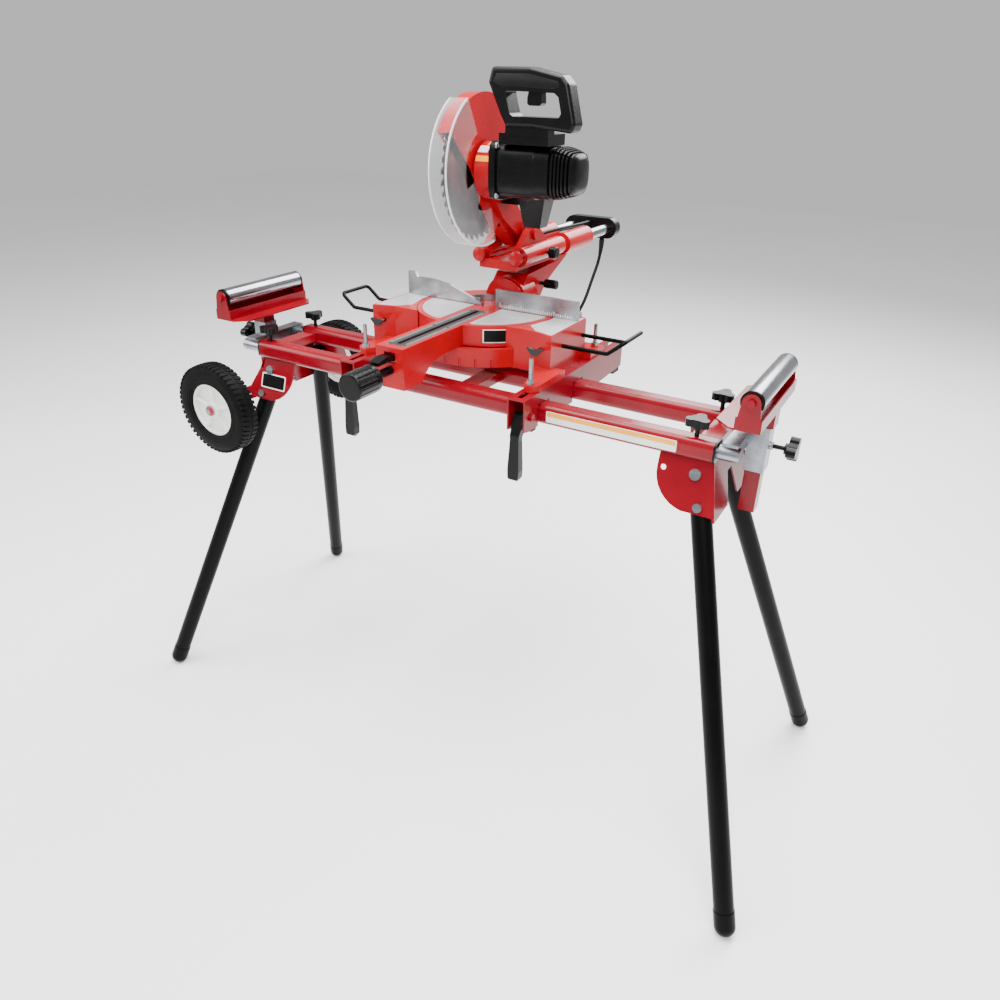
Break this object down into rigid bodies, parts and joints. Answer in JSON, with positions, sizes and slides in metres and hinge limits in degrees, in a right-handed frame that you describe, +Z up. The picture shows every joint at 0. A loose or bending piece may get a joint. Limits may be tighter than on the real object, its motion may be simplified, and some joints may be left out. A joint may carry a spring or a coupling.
{
  "type": "mitre saw on stand",
  "caption": "Sliding compound mitre saw on a folding wheeled stand with extension rollers, a clear blade guard and a D-handle.",
  "frame": {"origin": "floor level, under the middle of the machine's outline without its cord", "axes": "+X along the stand to the saw operator's right, +Y to the rear, +Z up"},
  "size_m": [1.477, 0.966, 1.374],
  "materials": {
    "red_frame": "gloss red powder coat",
    "red_casting": "gloss red paint on cast aluminium",
    "black_steel": "satin black paint",
    "zinc": "bright zinc plate",
    "chrome_steel": "polished",
    "bare_aluminium": "machined",
    "blade_steel": "ground",
    "black_plastic": "matte black",
    "white_plastic": "moulded",
    "tyre_rubber": "treaded",
    "black_rubber": "matte",
    "clear_plastic": "clear moulded"
  },
  "bodies": {
    "stand": {"rail_frame": "red_frame", "leg_brackets": "red_frame", "leg_pivot_bolts": "zinc", "wheel_axle": "zinc", "rail_bushes": "black_plastic"},
    "front_wheel": {"tyre_front": "tyre_rubber", "wheel_hub_front": "white_plastic"},
    "rear_wheel": {"tyre_rear": "tyre_rubber", "wheel_hub_rear": "white_plastic"},
    "saw_mounts": {"mount_bracket_left": "red_frame", "mount_bracket_right": "red_frame", "mount_feet": "black_rubber", "saw_base": "red_casting", "saw_base_fasteners": "zinc", "fence": "bare_aluminium", "power_cord": "black_rubber", "cord_coil": "black_rubber", "plug": "black_rubber"},
    "turntable_body": {"turntable": "red_casting", "kerf_plate": "black_plastic"},
    "bevel_body": {"bevel_arm": "red_casting"},
    "slide_head": {"slide_tubes": "chrome_steel", "tube_end_cap": "black_plastic", "slide_carriage": "red_casting", "head_lead": "black_rubber"},
    "chop_head": {"upper_guard": "red_casting", "motor_housing": "black_plastic", "d_handle": "black_plastic", "dust_port": "black_plastic"},
    "front_left_leg": {"leg_front_left": "black_steel"},
    "front_left_latch": {"leg_latch_front_left": "zinc"},
    "front_right_leg": {"leg_front_right": "black_steel"},
    "front_right_latch": {"leg_latch_front_right": "zinc"},
    "rear_left_leg": {"leg_rear_left": "black_steel"},
    "rear_left_latch": {"leg_latch_rear_left": "zinc"},
    "rear_right_leg": {"leg_rear_right": "black_steel"},
    "rear_right_latch": {"leg_latch_rear_right": "zinc"},
    "left_extension": {"extension_arm_left": "zinc"},
    "left_roller_stand": {"roller_stand_left": "red_frame"},
    "left_roller": {"roller_left": "chrome_steel"},
    "left_receiver_knob": {"receiver_knob_left": "black_plastic"},
    "front_left_clamp_knob": {"clamp_knob_front_left": "black_plastic"},
    "rear_left_clamp_knob": {"clamp_knob_rear_left": "black_plastic"},
    "right_extension": {"extension_arm_right": "zinc"},
    "right_roller_stand": {"roller_stand_right": "red_frame"},
    "right_roller": {"roller_right": "chrome_steel"},
    "right_receiver_knob": {"receiver_knob_right": "black_plastic"},
    "front_right_clamp_knob": {"clamp_knob_front_right": "black_plastic"},
    "rear_right_clamp_knob": {"clamp_knob_rear_right": "black_plastic"},
    "left_mount_lever": {"mount_lever_left": "black_plastic"},
    "left_work_rest": {"work_rest_left": "black_steel"},
    "right_mount_lever": {"mount_lever_right": "black_plastic"},
    "right_work_rest": {"work_rest_right": "black_steel"},
    "mitre_knob": {"mitre_lock_knob": "black_plastic"},
    "detent_lever": {"mitre_detent_lever": "black_plastic"},
    "bevel_knob": {"bevel_lock_knob": "black_plastic"},
    "slide_knob": {"slide_lock_knob": "black_plastic"},
    "lower_guard_body": {"lower_guard": "clear_plastic"},
    "blade_body": {"blade": "blade_steel"},
    "trigger_body": {"trigger": "black_plastic"}
  },
  "joints": [
    {"name": "front_left_leg_fold", "type": "hinge", "parent": "stand", "child": "front_left_leg", "pos_m": [-0.49, -0.2172, 0.765], "axis": [0, -0.9528, 0.3036], "range_deg": [0, 94.5]},
    {"name": "front_left_latch_pull", "type": "slide", "parent": "stand", "child": "front_left_latch", "axis": [0, -0.9528, 0.3036], "range_m": [0, 0.008], "stiffness_N_per_m": 800},
    {"name": "front_right_leg_fold", "type": "hinge", "parent": "stand", "child": "front_right_leg", "pos_m": [0.49, -0.2172, 0.765], "axis": [0, 0.9528, -0.3036], "range_deg": [0, 107]},
    {"name": "front_right_latch_pull", "type": "slide", "parent": "stand", "child": "front_right_latch", "axis": [0, -0.9528, 0.3036], "range_m": [0, 0.008], "stiffness_N_per_m": 800},
    {"name": "rear_left_leg_fold", "type": "hinge", "parent": "stand", "child": "rear_left_leg", "pos_m": [-0.49, -0.0808, 0.765], "axis": [0, -0.9528, -0.3036], "range_deg": [0, 94.5]},
    {"name": "rear_left_latch_pull", "type": "slide", "parent": "stand", "child": "rear_left_latch", "axis": [0, 0.9528, 0.3036], "range_m": [0, 0.008], "stiffness_N_per_m": 800},
    {"name": "rear_right_leg_fold", "type": "hinge", "parent": "stand", "child": "rear_right_leg", "pos_m": [0.49, -0.0808, 0.765], "axis": [0, 0.9528, 0.3036], "range_deg": [0, 107]},
    {"name": "rear_right_latch_pull", "type": "slide", "parent": "stand", "child": "rear_right_latch", "axis": [0, 0.9528, 0.3036], "range_m": [0, 0.008], "stiffness_N_per_m": 800},
    {"name": "front_wheel_spin", "type": "hinge", "parent": "stand", "child": "front_wheel", "pos_m": [-0.543, -0.352, 0.708], "axis": [0, 1, 0], "continuous": true},
    {"name": "rear_wheel_spin", "type": "hinge", "parent": "stand", "child": "rear_wheel", "pos_m": [-0.543, 0.054, 0.708], "axis": [0, 1, 0], "continuous": true},
    {"name": "left_extension_pull", "type": "slide", "parent": "stand", "child": "left_extension", "axis": [-1, 0, 0], "range_m": [0, 0.3]},
    {"name": "left_roller_stand_height", "type": "slide", "parent": "left_extension", "child": "left_roller_stand", "axis": [0, 0, 1], "range_m": [0, 0.055]},
    {"name": "left_roller_spin", "type": "hinge", "parent": "left_roller_stand", "child": "left_roller", "pos_m": [-0.583, -0.149, 0.924], "axis": [0, 1, 0], "continuous": true},
    {"name": "left_receiver_knob_turn", "type": "hinge", "parent": "left_extension", "child": "left_receiver_knob", "pos_m": [-0.639, -0.149, 0.815], "axis": [-1, 0, 0], "continuous": true},
    {"name": "front_left_clamp_knob_turn", "type": "hinge", "parent": "stand", "child": "front_left_clamp_knob", "pos_m": [-0.495, -0.221, 0.86], "axis": [0, 0, 1], "continuous": true},
    {"name": "rear_left_clamp_knob_turn", "type": "hinge", "parent": "stand", "child": "rear_left_clamp_knob", "pos_m": [-0.495, -0.077, 0.86], "axis": [0, 0, 1], "continuous": true},
    {"name": "right_extension_pull", "type": "slide", "parent": "stand", "child": "right_extension", "axis": [1, 0, 0], "range_m": [0, 0.3]},
    {"name": "right_roller_stand_height", "type": "slide", "parent": "right_extension", "child": "right_roller_stand", "axis": [0, 0, 1], "range_m": [0, 0.055]},
    {"name": "right_roller_spin", "type": "hinge", "parent": "right_roller_stand", "child": "right_roller", "pos_m": [0.567, -0.149, 0.924], "axis": [0, 1, 0], "continuous": true},
    {"name": "right_receiver_knob_turn", "type": "hinge", "parent": "right_extension", "child": "right_receiver_knob", "pos_m": [0.623, -0.149, 0.815], "axis": [1, 0, 0], "continuous": true},
    {"name": "front_right_clamp_knob_turn", "type": "hinge", "parent": "stand", "child": "front_right_clamp_knob", "pos_m": [0.478, -0.221, 0.86], "axis": [0, 0, 1], "continuous": true},
    {"name": "rear_right_clamp_knob_turn", "type": "hinge", "parent": "stand", "child": "rear_right_clamp_knob", "pos_m": [0.478, -0.077, 0.86], "axis": [0, 0, 1], "continuous": true},
    {"name": "saw_position", "type": "slide", "parent": "stand", "child": "saw_mounts", "axis": [1, 0, 0], "range_m": [-0.12, 0.15]},
    {"name": "left_mount_lever_swing", "type": "hinge", "parent": "saw_mounts", "child": "left_mount_lever", "pos_m": [-0.2145, -0.27, 0.819], "axis": [-1, 0, 0], "range_deg": [0, 90]},
    {"name": "left_work_rest_pull", "type": "slide", "parent": "saw_mounts", "child": "left_work_rest", "axis": [-1, 0, 0], "range_m": [0, 0.03]},
    {"name": "right_mount_lever_swing", "type": "hinge", "parent": "saw_mounts", "child": "right_mount_lever", "pos_m": [0.171, -0.27, 0.819], "axis": [-1, 0, 0], "range_deg": [0, 90]},
    {"name": "right_work_rest_pull", "type": "slide", "parent": "saw_mounts", "child": "right_work_rest", "axis": [1, 0, 0], "range_m": [0, 0.03]},
    {"name": "mitre_turn", "type": "hinge", "parent": "saw_mounts", "child": "turntable_body", "pos_m": [-0.045, -0.034, 0.915], "axis": [0, 0, 1], "range_deg": [-31, 31]},
    {"name": "mitre_knob_turn", "type": "hinge", "parent": "turntable_body", "child": "mitre_knob", "pos_m": [-0.045, -0.449, 0.893], "axis": [0, 1, 0], "continuous": true},
    {"name": "detent_lever_press", "type": "hinge", "parent": "turntable_body", "child": "detent_lever", "pos_m": [-0.045, -0.3685, 0.917], "axis": [1, 0, 0], "range_deg": [0, 8], "stiffness_Nm_per_rad": 0.6, "springref_deg": -20.05},
    {"name": "bevel_tilt", "type": "hinge", "parent": "turntable_body", "child": "bevel_body", "pos_m": [-0.045, 0.061, 0.935], "axis": [0, 1, 0], "range_deg": [-45, 0]},
    {"name": "bevel_knob_turn", "type": "hinge", "parent": "bevel_body", "child": "bevel_knob", "pos_m": [0.015, 0.123, 0.96], "axis": [1, 0, 0], "continuous": true},
    {"name": "head_slide", "type": "slide", "parent": "bevel_body", "child": "slide_head", "axis": [0, -1, 0], "range_m": [0, 0.122]},
    {"name": "slide_knob_turn", "type": "hinge", "parent": "slide_head", "child": "slide_knob", "pos_m": [0.033, 0.101, 1.032], "axis": [1, 0, 0], "continuous": true},
    {"name": "head_chop", "type": "hinge", "parent": "slide_head", "child": "chop_head", "pos_m": [-0.045, 0.074, 1.071], "axis": [1, 0, 0], "range_deg": [0, 46], "stiffness_Nm_per_rad": 12, "springref_deg": -108.86},
    {"name": "lower_guard_turn", "type": "hinge", "parent": "chop_head", "child": "lower_guard_body", "pos_m": [-0.045, -0.076, 1.204], "axis": [1, 0, 0], "range_deg": [-100, 0]},
    {"name": "blade_spin", "type": "hinge", "parent": "chop_head", "child": "blade_body", "pos_m": [-0.045, -0.076, 1.204], "axis": [1, 0, 0], "continuous": true},
    {"name": "trigger_squeeze", "type": "slide", "parent": "chop_head", "child": "trigger_body", "axis": [0, 0, 1], "range_m": [0, 0.005], "stiffness_N_per_m": 600, "springref_m": -0.004}
  ],
  "couplings": [
    {"joint": "lower_guard_turn", "follows": "head_chop", "ratio": -2.17}
  ]
}
